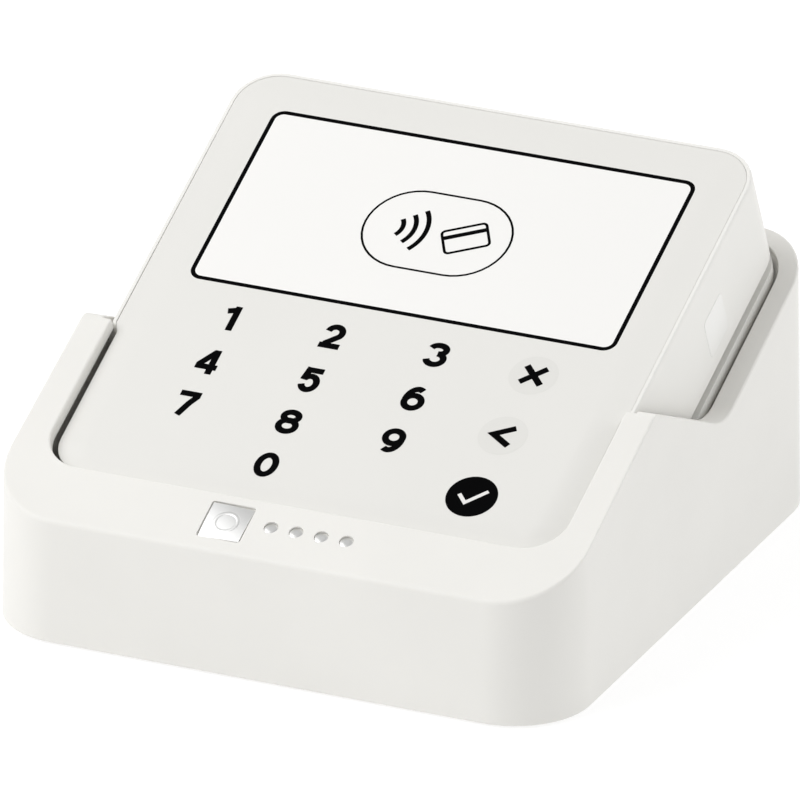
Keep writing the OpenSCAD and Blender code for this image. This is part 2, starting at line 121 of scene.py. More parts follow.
# The front rim stands RIM_H off the face. From its crest the sides slope down to the low rim
RIM_H = 1.6
LOW_RIM_H = -19.8
SHOULDER = math.tan(math.radians(24.8))
CREST_Y = -12.9
CREST_R = 2.5
VALLEY_R = 8.0
# The pocket: half width and corners in the front part, and past POCKET_STEP in the back part
POCKET_X = 41.26
POCKET_HIGH_X = 42.8
POCKET_BOTTOM = -41.9
POCKET_TOP = 41.8
POCKET_R = 6.4
POCKET_HIGH_R = 7.8
POCKET_H = REAR_H - 0.4
POCKET_EDGE = 2.0
POCKET_STEP = -13.2
UNDERCUT = POCKET_HIGH_X - POCKET_X
UNDERCUT_H = -0.35
PORT_LO, PORT_HI = [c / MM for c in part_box("dock_usb_port")]
PORT_Z = (PORT_LO.z + PORT_HI.z) / 2
# Widths and heights: a USB-C mouth, the recess round the dock's one, the button's hole, the
# chip slot's mouth
USB_MOUTH = (9.4, 3.6)
USB_RECESS = (13, 7)
BUTTON_HOLE = (9.1, 3.1)
CHIP_MOUTH = (54.8, 1.6)
# Opening for the magnetic head in the slot's roof: x and y low, x and y high
HEAD_WINDOW = (31.4, 9.4, 38.6, 20.6)
# The plain marks on the front rim: a square inlay, and a row of dots beside it
badge_lo, badge_hi = face_box("dock_badge")
DOT_R = 1.1
DOT_PLACES = [(-1.6 + 4 * i, badge_lo[1] + 3.85) for i in range(4)]
INLAY_DEPTH = 0.5

# ------------------------------------------------------------------ mesh helpers


def new_object(name, verts, faces):
    """Object from points in mm, with doubled points merged and its faces turned outward."""
    mesh = bpy.data.meshes.new(name)
    mesh.from_pydata([Vector(v) * MM for v in verts], [], faces)
    bm = bmesh.new()
    bm.from_mesh(mesh)
    bmesh.ops.remove_doubles(bm, verts=bm.verts, dist=2e-7)
    bmesh.ops.dissolve_degenerate(bm, edges=bm.edges, dist=1e-7)
    bmesh.ops.recalc_face_normals(bm, faces=bm.faces)
    bm.to_mesh(mesh)
    bm.free()
    obj = bpy.data.objects.new(name, mesh)
    bpy.context.scene.collection.objects.link(obj)
    return obj


def skin(rings, cap_start=True, cap_end=True, closed=False):
    """Side faces through rings of equal length, and flat caps on the first and the last."""
    n = len(rings[0])
    verts = [p for ring in rings for p in ring]
    faces = []
    pairs = list(zip(range(len(rings) - 1), range(1, len(rings))))
    if closed:
        pairs.append((len(rings) - 1, 0))
    for a, b in pairs:
        for i in range(n):
            j = (i + 1) % n
            faces.append((a * n + i, a * n + j, b * n + j, b * n + i))
    if not closed:
        if cap_start:
            faces.append(tuple(range(n)))
        if cap_end:
            faces.append(tuple((len(rings) - 1) * n + i for i in range(n)))
    return verts, faces


def join(parts):
    """One list of points and one of faces, out of several pairs of them."""
    verts, faces = [], []
    for v, f in parts:
        base = len(verts)
        verts += list(v)
        faces += [tuple(i + base for i in t) for t in f]
    return verts, faces


def apply_modifiers(obj):
    graph = bpy.context.evaluated_depsgraph_get()
    graph.update()
    mesh = bpy.data.meshes.new_from_object(obj.evaluated_get(graph))
    obj.modifiers.clear()
    obj.data = mesh


def cut(obj, cutters):
    """Takes solids out of a solid, and removes them."""
    for cutter in cutters:
        mod = obj.modifiers.new("cut", "BOOLEAN")
        mod.operation = "DIFFERENCE"
        mod.solver = "EXACT"
        mod.object = cutter
        apply_modifiers(obj)
    for cutter in cutters:
        bpy.data.objects.remove(cutter)


def cutter(outline, h0, h1, place):
    return new_object("cutter", *slab(outline, h0, h1, place))


def disc(cx, cy, r, n=36):
    """Circle of n points."""
    return arc(cx, cy, r, 0, 360 - 360 / n, n - 1)


def shade(obj, angle):
    """Smooth shading, with edges sharper than the angle kept crisp."""
    mesh = obj.data
    for poly in mesh.polygons:
        poly.use_smooth = True
    mesh.set_sharp_from_angle(angle=math.radians(angle))
    mod = obj.modifiers.new("normals", "WEIGHTED_NORMAL")
    mod.keep_sharp = True
    mod.weight = 60


def finish_piece(obj, body, look, replaces=(), angle=32):
    shade(obj, angle)
    obj.data.materials.clear()
    obj.data.materials.append(M[look])
    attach(obj, body)
    if replaces:
        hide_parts(*replaces)


def arc(cx, cy, r, a0, a1, n, ry=None):
    """n + 1 points of an arc, angles in degrees."""
    ry = r if ry is None else ry
    out = []
    for i in range(n + 1):
        a = math.radians(a0 + (a1 - a0) * i / n)
        out.append((cx + r * math.cos(a), cy + ry * math.sin(a)))
    return out


def eased(y, y0, y1, a, b):
    """Value that runs smoothly from a at y0 to b at y1, and is level outside them."""
    t = min(max((y - y0) / (y1 - y0), 0), 1)
    return a + (b - a) * t * t * (3 - 2 * t)


def round_rect(x0, y0, x1, y1, r, n=8):
    """Rectangle between two corners, with rounded corners of n steps each."""
    pts = []
    for cx, cy, a in ((x1 - r, y0 + r, -90), (x1 - r, y1 - r, 0), (x0 + r, y1 - r, 90),
                      (x0 + r, y0 + r, 180)):
        pts += arc(cx, cy, r, a, a + 90, n)
    return pts


def pill(w, h, n=10):
    """Rectangle with fully round ends, about the origin."""
    r = h / 2
    return arc(w / 2 - r, 0, r, -90, 90, n) + arc(-w / 2 + r, 0, r, 90, 270, n)


def slab(outline, h0, h1, place):
    """Solid over an outline, between two heights, each point set by place(x, y, h)."""
    rings = [[place(x, y, h) for x, y in outline] for h in (h0, h1)]
    return skin(rings)


def fillet(corner, a, b, r, n=6):
    """Arc of radius r in a corner, from its edge along a to its edge along b."""
    a, b = a.normalized(), b.normalized()
    theta = a.angle(b)
    t = r / math.tan(theta / 2)
    centre = corner + (a + b).normalized() * (r / math.sin(theta / 2))
    u, v = corner + a * t - centre, corner + b * t - centre
    total = u.angle(v)
    out = []
    for i in range(n + 1):
        k = i / n
        out.append(centre + (u * math.sin((1 - k) * total) + v * math.sin(k * total))
                   / math.sin(total))
    return out


# ------------------------------------------------------------------ materials


def material(name, colour, rough=0.45, metallic=0.0, grain=0.0, grain_scale=2500.0, coat=0.0,
             tint=0.02, rough_var=0.05, emission=0.0, specular=0.5, subsurface=0.0,
             stretch=(1, 1, 1)):
    """Procedural surface: slight colour and gloss variation, and a fine moulded or brushed grain.

    tint is the share by which the colour varies, rough_var the change in roughness to each side,
    stretch the grain's scale on each axis. A lit surface glows in its own colour."""
    mat = bpy.data.materials.new(name)
    mat.use_nodes = True
    nodes, links = mat.node_tree.nodes, mat.node_tree.links
    nodes.clear()
    out = nodes.new("ShaderNodeOutputMaterial")
    bsdf = nodes.new("ShaderNodeBsdfPrincipled")
    links.new(bsdf.outputs[0], out.inputs[0])
    bsdf.inputs["Metallic"].default_value = metallic
    bsdf.inputs["Specular IOR Level"].default_value = specular
    bsdf.inputs["Coat Weight"].default_value = coat
    bsdf.inputs["Coat Roughness"].default_value = 0.12
    if subsurface:
        bsdf.inputs["Subsurface Weight"].default_value = subsurface
        bsdf.inputs["Subsurface Radius"].default_value = (1.0, 0.95, 0.85)
        bsdf.inputs["Subsurface Scale"].default_value = 0.0012
    if emission:
        bsdf.inputs["Emission Color"].default_value = (*colour, 1)
        bsdf.inputs["Emission Strength"].default_value = emission
    coord = nodes.new("ShaderNodeTexCoord")
    mapping = nodes.new("ShaderNodeMapping")
    mapping.inputs["Scale"].default_value = stretch
    links.new(coord.outputs["Object"], mapping.inputs["Vector"])

    cloud = nodes.new("ShaderNodeTexNoise")
    cloud.inputs["Scale"].default_value = 55.0
    cloud.inputs["Detail"].default_value = 4.0
    links.new(mapping.outputs[0], cloud.inputs["Vector"])
    ramp = nodes.new("ShaderNodeValToRGB")
    low = [max(c * (1 - tint), 0) for c in colour]
    high = [min(c * (1 + tint * 0.4), 1) for c in colour]
    ramp.color_ramp.elements[0].position = 0.3
    ramp.color_ramp.elements[1].position = 0.7
    ramp.color_ramp.elements[0].color = (*low, 1)
    ramp.color_ramp.elements[1].color = (*high, 1)
    links.new(cloud.outputs["Fac"], ramp.inputs["Fac"])
    links.new(ramp.outputs["Color"], bsdf.inputs["Base Color"])

    fine = nodes.new("ShaderNodeTexNoise")
    fine.inputs["Scale"].default_value = grain_scale
    fine.inputs["Detail"].default_value = 3.0
    links.new(mapping.outputs[0], fine.inputs["Vector"])
    spread = nodes.new("ShaderNodeMapRange")
    spread.inputs["To Min"].default_value = max(rough - rough_var, 0.02)
    spread.inputs["To Max"].default_value = min(rough + rough_var, 1)
    links.new(fine.outputs["Fac"], spread.inputs["Value"])
    links.new(spread.outputs["Result"], bsdf.inputs["Roughness"])
    if grain:
        bump = nodes.new("ShaderNodeBump")
        bump.inputs["Strength"].default_value = grain
        bump.inputs["Distance"].default_value = 0.00002
        links.new(fine.outputs["Fac"], bump.inputs["Height"])
        links.new(bump.outputs["Normal"], bsdf.inputs["Normal"])
    return mat


DOCK_WHITE = (0.8, 0.79, 0.757)
HOUSING_WHITE = (0.82, 0.812, 0.779)
COVER_WHITE = (0.748, 0.74, 0.71)
M = {
    "dock": material("dock_satin_white", DOCK_WHITE, 0.5, grain=0.25, subsurface=0.06),
    "frame": material("reader_satin_white", HOUSING_WHITE, 0.48, grain=0.22, subsurface=0.06),
    "cover": material("cover_smooth_white", COVER_WHITE, 0.36, grain=0.06, coat=0.1, tint=0.008),
    "screen": material("lit_screen_white", (0.83, 0.823, 0.805), 0.3, tint=0.004, emission=0.03),
    "ink": material("printed_black", (0.0015, 0.0015, 0.0018), 0.7, tint=0.2, grain=0.05,
                    specular=0.02),
    "disc": material("printed_disc", (0.712, 0.705, 0.675), 0.42, grain=0.05, tint=0.01),
    "white_ink": material("printed_white", (0.775, 0.765, 0.745), 0.5, tint=0.01, grain=0.05),
    "badge": material("bright_inlay", (0.9, 0.9, 0.89), 0.32, metallic=1.0, tint=0.03,
                      rough_var=0.04, grain=0.03),
    "tile": material("side_tile_white", (0.85, 0.845, 0.818), 0.3, coat=0.2, tint=0.008),
    "rubber": material("rubber_grey", (0.045, 0.045, 0.048), 0.8, grain=0.6, grain_scale=1500,
                       tint=0.12),
    "steel": material("steel_plain", (0.6, 0.61, 0.62), 0.28, metallic=1.0, grain=0.1,
                      stretch=(1, 6, 6), tint=0.05),
    "gold": material("gold_plate", (0.83, 0.6, 0.24), 0.22, metallic=1.0, grain=0.05, tint=0.05),
    "board": material("board_green", (0.02, 0.13, 0.06), 0.4, coat=0.3, tint=0.2, grain=0.1),
    "chip": material("moulded_black", (0.018, 0.018, 0.02), 0.5, grain=0.3, tint=0.15),
    "film": material("film_amber", (0.45, 0.24, 0.05), 0.3, tint=0.1, grain=0.05),
    "cell": material("foil_silver", (0.5, 0.51, 0.53), 0.35, metallic=0.9, grain=0.3, tint=0.05),
}
# The look of each CAD node, by its material slot in the record
SLOT_LOOK = {"shell_white": "frame", "cover_white": "cover", "screen_white": "screen",
             "ink_black": "ink", "badge_metal": "badge", "rubber_grey": "rubber",
             "steel": "steel", "gold": "gold", "board_green": "board", "chip_black": "chip",
             "film_amber": "film", "cell_silver": "cell"}
for part in frame["record"]["subparts"]:
    look = SLOT_LOOK[part["material_slot"]]
    if part["node"].startswith("dock_") and look == "frame":
        look = "dock"
    if part["node"] == "side_tile":
        look = "tile"
    node = frame["nodes"][part["node"]]
    if not node.material_slots:
        node.data.materials.append(None)
    for place in node.material_slots:
        place.material = M[look]

# ------------------------------------------------------------------ dock shell


def plane_z(y, h):
    """Height over the table, at y, of the plane that lies h off the face."""
    return FACE_Z + h / COS + y * TAN


def profile_points():
    """Side outline of the rims: front plane, crest, shoulder, valley, low plane."""
    cy = CREST_Y * COS - RIM_H * SIN
    cz = plane_z(cy, RIM_H)
    vy = (cz + cy * SHOULDER - plane_z(0, LOW_RIM_H)) / (TAN + SHOULDER)
    far = 80  # past both ends of the dock
    front = Vector((0, -far, plane_z(-far, RIM_H)))
    crest = Vector((0, cy, cz))
    valley = Vector((0, vy, plane_z(vy, LOW_RIM_H)))
    back = Vector((0, far, plane_z(far, LOW_RIM_H)))
    top = fillet(crest, front - crest, valley - crest, CREST_R, 10)
    low = fillet(valley, crest - valley, back - valley, VALLEY_R, 14)
    return front, top, low, back


front_end, crest_arc, valley_arc, back_end = profile_points()
PROFILE = [(p.y, p.z) for p in [front_end, *crest_arc, *valley_arc, back_end]]


def rim_z(y):
    """Height of the rims' side outline at y."""
    for (ya, za), (yb, zb) in zip(PROFILE, PROFILE[1:]):
        if y <= yb:
            return za + (zb - za) * (y - ya) / (yb - ya)
    return PROFILE[-1][1]


def outer_at(base, normal, z):
    """Point of the tapered outer wall at height z, over a point of its outline at the table."""
    return Vector((base[0] - normal[0] * TAPER * (z - DOCK_Z),
                   base[1] - normal[1] * TAPER * (z - DOCK_Z), z))


def outer_rim(base, normal):
    """Where the outer wall meets the rims' side outline."""
    z = 30.0
    for _ in range(6):
        z = rim_z(outer_at(base, normal, z).y)
    return outer_at(base, normal, z)


def half_stations():
    """Right half of the dock's outlines, from the front's middle round to the back's middle.

    Each station is (outer point at the table, its normal, pocket point, pocket normal). The pocket
    point is in the face's frame. Along the sides its normal is None, and it is the rim's own x
    and y in the object's frame."""
    out = []
    ox, oy = DOCK_W - DOCK_R, DOCK_D - DOCK_R
    px, py = POCKET_X - POCKET_R, POCKET_BOTTOM + POCKET_R
    n, corner_n = 6, 12
    for i in range(n):
        k = i / n
        out.append(((ox * k, -DOCK_D), (0, -1), (px * k, POCKET_BOTTOM), (0, -1)))
    for i in range(corner_n + 1):
        a = math.radians(-90 + 90 * i / corner_n)
        d = (math.cos(a), math.sin(a))
        out.append(((ox + DOCK_R * d[0], -oy + DOCK_R * d[1]), d,
                    (px + POCKET_R * d[0], py + POCKET_R * d[1]), d))
    # Sides: the same y on the rim for both outlines, once past the front corner
    pocket_y = py * COS - RIM_H * SIN
    first = crest_arc[0].y - 0.4
    for i in range(1, 5):
        k = i / 5
        out.append(((DOCK_W, -oy + (first + oy) * k), (1, 0),
                    (POCKET_X, pocket_y + (first - pocket_y) * k), None))
    step = POCKET_STEP * COS - RIM_H * SIN
    clear, half_step = 0.1, 0.02
    ys = [first, *[p.y for p in crest_arc if p.y < step - clear], step - half_step]
    out += [((DOCK_W, y), (1, 0), (POCKET_X, y), None) for y in ys]
    ys = [step + half_step, *[p.y for p in crest_arc if p.y > step + clear]]
    last_crest, first_valley = crest_arc[-1].y, valley_arc[0].y
    ys += [last_crest + (first_valley - last_crest) * k / 4 for k in (1, 2, 3)]
    ys += [p.y for p in valley_arc]
    out += [((DOCK_W, y), (1, 0), (POCKET_HIGH_X, y), None) for y in ys]
    qx, qy = POCKET_HIGH_X - POCKET_HIGH_R, POCKET_TOP - POCKET_HIGH_R
    pocket_y = qy * COS - LOW_RIM_H * SIN
    start = valley_arc[-1].y
    for i in range(1, 5):
        k = i / 5
        out.append(((DOCK_W, start + (DOCK_D - DOCK_BACK_R - start) * k), (1, 0),
                    (POCKET_HIGH_X, start + (pocket_y - start) * k), None))
    ox, oy = DOCK_W - DOCK_BACK_R, DOCK_D - DOCK_BACK_R
    for i in range(corner_n + 1):
        a = math.radians(90 * i / corner_n)
        d = (math.cos(a), math.sin(a))
        out.append(((ox + DOCK_BACK_R * d[0], oy + DOCK_BACK_R * d[1]), d,
                    (qx + POCKET_HIGH_R * d[0], qy + POCKET_HIGH_R * d[1]), d))
    for i in range(1, n + 1):
        k = 1 - i / n
        out.append(((ox * k, DOCK_D), (0, 1), (qx * k, POCKET_TOP), (0, 1)))
    return out


def dock_section(base, normal, pocket, pocket_normal):
    """Points of the dock's wall at one station, from the base's seat to the pocket's floor."""
    rim = outer_rim(base, normal)
    if pocket_normal is None:
        x, y = pocket
        z = rim_z(y)
        inner = Vector((x, y, z))
        pocket_normal = (1, 0)
        px, py = x, y * COS + (z - FACE_Z) * SIN
    else:
        px, py = pocket
        h = RIM_H if py < 0 else LOW_RIM_H
        inner = on_face(px, py, h)
    seat = outer_at(base, normal, DOCK_Z) - Vector((*normal, 0)) * BASE_INSET
    foot = outer_at(base, normal, DOCK_Z)
    pts = [Vector((seat.x, seat.y, BASE_TOP + 0.1)), Vector((seat.x, seat.y, DOCK_Z))]
    pts += fillet(foot, seat - foot, outer_at(base, normal, 10) - foot, FOOT_R, 4)
    down = foot - rim
    across = inner - rim
    # The front rim's edges are rounder than the others, and its front edge is the roundest
    soft = (CREST_Y - 5, CREST_Y + 3)
    outer_r = eased(py, *soft, 0.4 + 0.6 * max(-normal[1], 0), 0.33)
    inner_r = eased(py, *soft, 0.4, 0.18)
    pts += fillet(rim, down, across, outer_r, 8)
    pts += fillet(inner, -across, -NORMAL, inner_r, 6)
    # Under the front rim's lip the pocket is wider
    lip = abs(px) < POCKET_X + 0.01 and py < 0
    out = UNDERCUT if lip else 0.0
    nx, ny = pocket_normal
    drop = UNDERCUT_H if lip else LOW_RIM_H - 0.9
    pts.append(on_face(px, py, drop))
    pts.append(on_face(px + nx * out, py + ny * out, drop - 0.01))
    pts.append(on_face(px + nx * out, py + ny * out, POCKET_H + POCKET_EDGE))
    out -= POCKET_EDGE
    pts.append(on_face(px + nx * out, py + ny * out, POCKET_H))
    return pts


def build_dock():
    right = [dock_section(*station) for station in half_stations()]
    left = [[Vector((-p.x, p.y, p.z)) for p in section] for section in reversed(right[1:-1])]
    rings = [list(ring) for ring in zip(*right, *left)]
    shell = new_object("dock_housing", *skin(rings))
    behind = lambda x, y, h: Vector((-x, DOCK_D + h, y + PORT_Z))
    play = 0.1
    marks = [round_rect(badge_lo[0] - play, badge_lo[1] - play, badge_hi[0] + play,
                        badge_hi[1] + play, 0.5)]
    marks += [arc(x, y, DOT_R, 0, 348, 29) for x, y in DOT_PLACES]
    cutters = [cutter(outline, RIM_H - INLAY_DEPTH, RIM_H + 3, on_face) for outline in marks]
    for i in range(1, 5):
        lo, hi = face_box("charge_pin_%d" % i)
        hole = disc((lo[0] + hi[0]) / 2, (lo[1] + hi[1]) / 2, 1)
        cutters.append(cutter(hole, POCKET_H - 1.5, POCKET_H + 2, on_face))
    lo, hi = face_box("contact_block")
    seat = round_rect(lo[0] - play, lo[1] - play, hi[0] + play, hi[1] + play, 1)
    cutters.append(cutter(seat, lo[2] - play, hi[2] + 0.04, on_face))
    recess = 1.2
    cutters.append(cutter(pill(*USB_RECESS), -recess, 2, behind))
    cutters.append(cutter(pill(*USB_MOUTH), -10, 0.2 - recess, behind))
    cut(shell, cutters)
    finish_piece(shell, "dock", "dock", ["dock_shell"])


build_dock()


# The plate's crown runs across LEAN, and the dots slope along it
PLATE_RISE = 0.28
LEAN = Vector((0.5, 0.87))


def build_badge():
    """Square inlay that curves gently across, with a faint ring, and four slanted dots."""
    floor = RIM_H - INLAY_DEPTH + 0.02
    cx, cy = (badge_lo[0] + badge_hi[0]) / 2, (badge_lo[1] + badge_hi[1]) / 2
    thick = 0.12
    half = (badge_hi[0] - badge_lo[0]) / 2 - thick
    reach = half * (LEAN.x + LEAN.y)

    def height(x, y):
        return floor + thick + PLATE_RISE * (1 - (Vector((x, y)).dot(LEAN) / reach) ** 2)

    steps = [half * (i / 8 - 1) for i in range(17)]
    rows = []
    for y in steps:
        row = [(-half, floor), *[(x, height(x, y)) for x in steps], (half, floor)]
        rows.append([on_face(cx + x, cy + y, h) for x, h in row])
    parts = [skin(rows)]
    sections = []
    ring_r, ring_half, ring_rise = 1.75, 0.3, 0.05
    for i in range(48):
        a = 2 * math.pi * i / 48
        d = Vector((math.cos(a), math.sin(a)))
        ring = [(d * r, h) for r, h in arc(ring_r, -0.01, ring_half, 0, 180, 8, ry=ring_rise)]
        sections.append([on_face(cx + p.x, cy + p.y, height(*p) + h) for p, h in ring])
    parts.append(skin([list(r) for r in zip(*sections)], False, False, closed=True))
    turn = [Vector((math.cos(a), math.sin(a))) for a in (2 * math.pi * i / 32 for i in range(32))]
    slope, dot_thick = 0.11, 0.2
    for x, y in DOT_PLACES:
        r = DOT_R - 0.06
        rows = [[on_face(x + d.x * r, y + d.y * r, floor) for d in turn]]
        for r, rise in ((DOT_R - 0.06, 0), (DOT_R - 0.14, 0.05), (0.3, 0.05)):
            rows.append([on_face(x + d.x * r, y + d.y * r,
                                 floor + dot_thick + rise - slope * r * d.dot(LEAN))
                         for d in turn])
        parts.append(skin(rows))
    obj = new_object("lip_inlay", *join(parts))
    finish_piece(obj, "dock", "badge", ["dock_badge"], 40)


build_badge()

# ------------------------------------------------------------------ reader outlines


def reader_ring(low, high, bottom, top, low_r, high_r, step, n=8):
    """Outline points of the reader, whose half width grows from low to high over the step."""
    points = arc(low - low_r, bottom + low_r, low_r, -90, 0, n)
    step_n = 12
    for i in range(step_n + 1):
        y = step[0] + (step[1] - step[0]) * i / step_n
        points.append((eased(y, *step, low, high), y))
    points += arc(high - high_r, top - high_r, high_r, 0, 90, n)
    return points + [(-x, y) for x, y in reversed(points)]


def housing_outline(inset, low_inset=None):
    """Outline of the housing and of the rear cover, drawn in by inset."""
    low_inset = inset if low_inset is None else low_inset
    return reader_ring(HALF_W - REBATE - low_inset, HALF_W - inset, FRAME_BOTTOM + inset,
                       HALF_L - inset, max(READER_R - REBATE - inset, 0.5),
                       max(READER_R - inset, 0.5), STEP)


def housing_ring(inset, h):
    return [on_face(x, y, h) for x, y in housing_outline(inset)]


def frame_ring(inset, h, low_h=None):
    """low_h is the height below the step, where the cover lies over the housing's edge."""
    ring = housing_outline(inset, min(inset, 3.2))
    if low_h is None:
        return [on_face(x, y, h) for x, y in ring]
    out = []
    for x, y in ring:
        raised = 1.0 if y > STEP[1] else 0.0
        if STEP[0] <= y <= STEP[1]:
            # The lip starts as a thin wedge outside the cover
            outer = eased(y, *STEP, HALF_W - REBATE, HALF_W)
            room = max(outer - LIP_GAP - eased(y, *COVER_STEP, COVER_LOW, COVER_HIGH), 0)
            x = math.copysign(outer - min(inset, room), x)
            raised = eased(room, 0, 0.35, 0, 1)
        out.append(on_face(x, y, low_h + (h - low_h) * raised))
    return out


def cover_ring(inset, h, fade=0.0, sink=0.0):
    """fade draws the part above the step in, until at 1 the two are equally wide.

    sink, from 0 to 1, lowers the edge: most in the part that the dock's rim wraps."""
    low, high = COVER_LOW - inset, COVER_HIGH - inset
    high += (low - high) * fade
    ring = reader_ring(low, high, COVER_BOTTOM + inset, HALF_L - LIP - BACK_GAP - inset,
                       READER_R - REBATE + COVER_OUT - inset, READER_R - LIP - LIP_GAP - inset,
                       COVER_STEP)
    return [on_face(x, y, h - sink * eased(y, *WRAPPED, 0.45, 0.1)) for x, y in ring]


def holed_cap(outer, inner, plane):
    """Flat face between two outlines of 2D points, each set in space by plane(x, y)."""
    verts = [plane(x, y) for x, y in outer + inner]
    tris = tessellate_polygon([[Vector((x, y, 0)) for x, y in outer],
                               [Vector((x, y, 0)) for x, y in inner]])
    return verts, [tuple(t) for t in tris]


def build_cover():
    """Touch cover with a hole for the display, that rolls down to a small edge all round."""
    edge_r, edge_n, roll, roll_n = 0.12, 5, 4.6, 12
    rings = [cover_ring(0, -COVER_T), cover_ring(0, -edge_r, sink=1)]
    for i in range(1, edge_n + 1):
        a = math.radians(86 * i / edge_n)
        rings.append(cover_ring(edge_r * (1 - math.cos(a)), -edge_r * (1 - math.sin(a)), sink=1))
    for i in range(1, roll_n + 1):
        k = i / roll_n
        rings.append(cover_ring(edge_r + (roll - edge_r) * k, 0, k, eased(k, 0, 1, 1, 0)))
    side = skin(rings, False, False)
    hole = round_rect(border_lo[0], border_lo[1], border_hi[0], border_hi[1], 2.0, 6)

    def flat(p):
        rel = p - Vector((0, 0, FACE_Z))
        return rel.dot(X), rel.dot(SLOPE)

    top = holed_cap([flat(p) for p in rings[-1]], hole, lambda x, y: on_face(x, y, 0))
    under = holed_cap([flat(p) for p in rings[0]], hole, lambda x, y: on_face(x, y, -COVER_T))
    wall = skin([[on_face(x, y, h) for x, y in hole] for h in (-COVER_T, 0)], False, False)
    obj = new_object("touch_cover", *join([side, top, under, wall]))
    finish_piece(obj, "reader", "cover", ["front_cover"], 50)


build_cover()


def build_frame():
    """White housing: the side walls as a tube with a lip, and the roof of the swipe slot."""
    lip_r, lip_drop, lip_top, lip_n = 0.3, 1.0, -0.06, 8
    under = -COVER_T - 0.02
    wall, edge, shelf_h = 1.6, 0.25, -3
    rings = [frame_ring(wall, SEAM_H), frame_ring(edge, SEAM_H),
             frame_ring(edge * 0.3, SEAM_H + edge * 0.3), frame_ring(0, SEAM_H + edge)]
    for i in range(lip_n + 1):
        a = math.radians(90 * i / lip_n)
        rings.append(frame_ring(lip_r * (1 - math.cos(a)), lip_top - lip_drop * (1 - math.sin(a)),
                                under))
    rings += [frame_ring(LIP - 0.06, lip_top, under), frame_ring(LIP, lip_top - 0.06, under),
              frame_ring(LIP, under, under), frame_ring(wall * 2, under),
              frame_ring(wall * 2, shelf_h), frame_ring(wall, shelf_h)]
    tube = new_object("reader_housing", *skin(rings, closed=True))
    side = lambda x, y, h: on_face(-HALF_W + h, x, y)
    cutters = []
    for node, size in (("power_button", BUTTON_HOLE), ("usb_port", USB_MOUTH)):
        lo, hi = face_box(node)
        outline = [(x + (lo[1] + hi[1]) / 2, y + (lo[2] + hi[2]) / 2) for x, y in pill(*size)]
        cutters.append(cutter(outline, -2, 3, side))
    lo, hi = face_box("card_connector")
    chip_x, chip_h = (lo[0] + hi[0]) / 2, SEAM_H + 3.1
    above = lambda x, y, h: on_face(x + chip_x, HALF_L + h, y + chip_h)
    half_w, half_h = CHIP_MOUTH[0] / 2, CHIP_MOUTH[1] / 2
    mouth = round_rect(-half_w, -half_h, half_w, half_h, 0.3, 3)
    cutters.append(cutter(mouth, -3, 2, above))
    cut(tube, cutters)
    # Roof of the swipe slot, its edge buried in the walls by sunk
    sunk, roof_t = 1, 1.2
    half = housing_outline(sunk)
    half = half[:len(half) // 2]
    half = [(SLOT_X - 1, FRAME_BOTTOM + sunk), *half, (SLOT_X - 1, HALF_L - sunk)]
    roof = new_object("roof", *slab(half, SEAM_H + 0.001, SEAM_H + roof_t, on_face))
    cut(roof, [cutter(round_rect(*HEAD_WINDOW, 0.6, 3), SEAM_H - 2, SEAM_H + 3, on_face)])
    bm = bmesh.new()
    bm.from_mesh(tube.data)
    bm.from_mesh(roof.data)
    bm.to_mesh(tube.data)
    bm.free()
    bpy.data.objects.remove(roof)
    finish_piece(tube, "reader", "frame", ["mid_frame"], 40)


build_frame()


def build_rear():
    """Lower shell: a tray for the battery, the floor of the swipe slot, holes underneath."""
    rings = []
    for i in range(9):
        a = math.radians(90 - 90 * i / 8)
        rings.append(housing_ring(REAR_R * (1 - math.cos(a)), REAR_H + REAR_R * (1 - math.sin(a))))
    rings.append(housing_ring(0, SEAM_H - 0.2))
    rings.append(housing_ring(0.15, SEAM_H - 0.05))
    shell = new_object("reader_underside", *skin(rings))
    far, top, below = 60, SEAM_H + 3, REAR_H - 1
    slot = [(SLOT_X, -far), (far, -far), (far, far), (SLOT_X, far)]
    tray = round_rect(-38.2, FRAME_BOTTOM + 2, SLOT_X - 1.2, HALF_L - 2, 2, 4)
    cutters = [cutter(slot, SEAM_H - SLOT_GAP, top, on_face),
               cutter(tray, REAR_H + 1.4, top, on_face)]
    # Four pads in a row and four screws in the corners, each found from its node's box
    lo, hi = face_box("charge_pads")
    pad_r, pad_n = 1.6, 4
    for i in range(pad_n):
        x = lo[0] + pad_r + i * (hi[0] - lo[0] - 2 * pad_r) / (pad_n - 1)
        hole = disc(x, (lo[1] + hi[1]) / 2, pad_r + 0.02)
        cutters.append(cutter(hole, below, REAR_H + 3, on_face))
    lo, hi = face_box("reader_screws")
    screw_r = 1.9
    for x in (lo[0] + screw_r, hi[0] - screw_r):
        for y in (lo[1] + screw_r, hi[1] - screw_r):
            cutters.append(cutter(disc(x, y, screw_r + 0.2), below, REAR_H + 1.6, on_face))
    cut(shell, cutters)
    finish_piece(shell, "reader", "frame", ["rear_cover"], 40)


build_rear()


def build_tile():
    """Side tile, almost flush, with softened edges."""
    lo, hi = face_box("side_tile")
    rings = []
    for inset, out in ((0.08, -0.01), (0.08, 0.02), (0.12, 0.05), (0.25, 0.06)):
        outline = round_rect(lo[1] + inset, lo[2] + inset, hi[1] - inset, hi[2] - inset, 0.8)
        rings.append([on_face(lo[0] + out, x, y) for x, y in outline])
    obj = new_object("side_plate", *skin(rings))
    finish_piece(obj, "reader", "tile", ["side_tile"], 50)


build_tile()

# ------------------------------------------------------------------ printed signs


